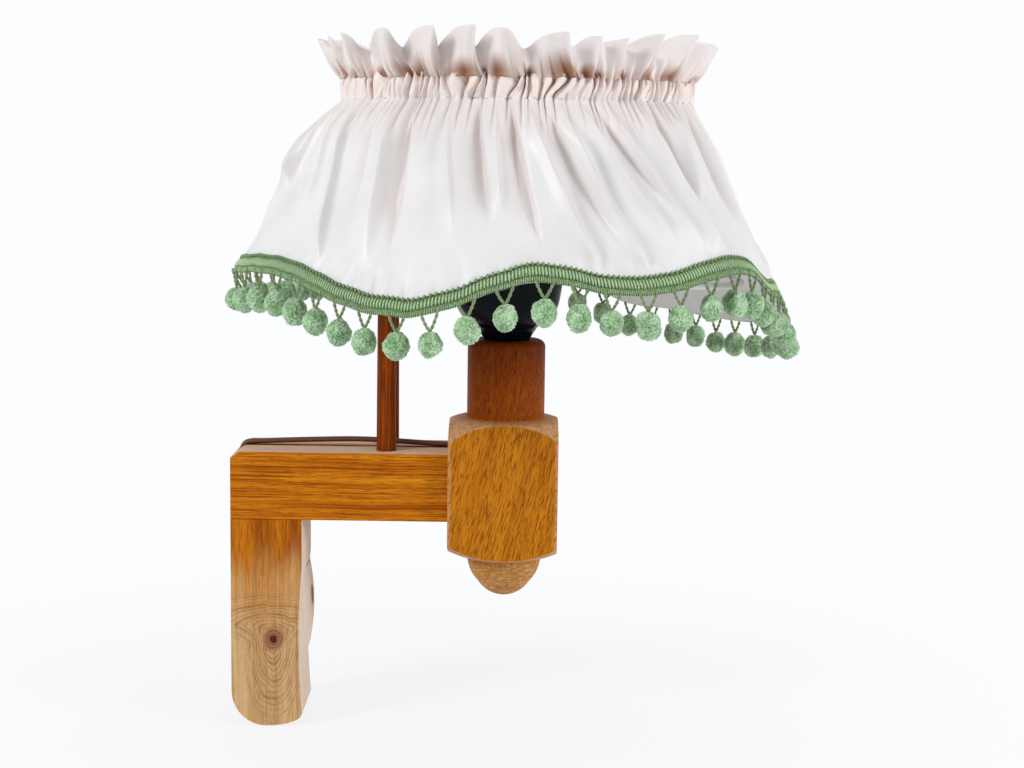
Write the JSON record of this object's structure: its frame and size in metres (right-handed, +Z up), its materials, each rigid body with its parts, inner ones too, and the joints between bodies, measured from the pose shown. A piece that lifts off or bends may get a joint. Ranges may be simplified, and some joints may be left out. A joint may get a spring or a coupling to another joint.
{
  "type": "wall lamp",
  "caption": "Wooden wall lamp: a post and arm carry a turned head with a bulb in a black cup; dowels hold a gathered cloth shade with braid and pompoms.",
  "frame": {"origin": "centre of the round hole of the hanging plate, in the wall plane at the back of the post", "axes": "+Z up, +X out from the wall along the arm, +Y along the wall; the wall is the plane X = 0"},
  "size_m": [0.3123, 0.3114, 0.3771],
  "materials": {
    "post_wood": "thin orange-brown stain, fading towards the foot",
    "stained_wood": "orange-brown stain, waxed",
    "zinc_steel": "zinc plated",
    "pale_plastic": "moulded",
    "brass_parts": "turned",
    "brown_flex": "smooth sheath",
    "black_enamel": "gloss",
    "black_moulding": "gloss",
    "white_ceramic": "fired, unglazed",
    "plated_shell": "bright",
    "dark_glass": "vitrite-like, dark",
    "opal_glass": "frosted",
    "white_wire": "white coated",
    "satin_cloth": "satin weave, white with a faint pink tint",
    "elastic": "woven elastic",
    "green_braid": "woven gimp braid",
    "green_pompom": "fluffy wool"
  },
  "bodies": {
    "bracket": {"wall_post": "post_wood", "arm": "stained_wood", "turned_head": "stained_wood", "front_dowel": "stained_wood", "rear_dowel": "stained_wood", "arm_pegs": "post_wood", "hanging_plate": "zinc_steel", "hanging_plate_screws": "zinc_steel", "terminal_block": "pale_plastic", "terminal_screws": "brass_parts", "flex": "brown_flex", "lamp_cup": "black_enamel", "nipple": "brass_parts", "nipple_nut": "brass_parts", "lampholder_cap": "black_moulding", "lampholder_insert": "white_ceramic", "lampholder_skirt": "black_moulding", "thread_shell": "plated_shell", "centre_contact": "brass_parts", "bulb_insulator": "dark_glass", "bulb_cap": "plated_shell", "bulb_glass": "opal_glass"},
    "shade": {"frame_top_ring": "white_wire", "frame_bottom_ring": "white_wire", "frame_ribs": "white_wire", "shade_carrier": "white_wire", "shade_fabric": "satin_cloth", "elastic_band": "elastic", "braid": "green_braid", "pompoms": "green_pompom"}
  },
  "joints": [
    {"name": "shade_lift", "type": "slide", "parent": "bracket", "child": "shade", "axis": [0, 0, 1], "range_m": [0, 0.17]}
  ]
}
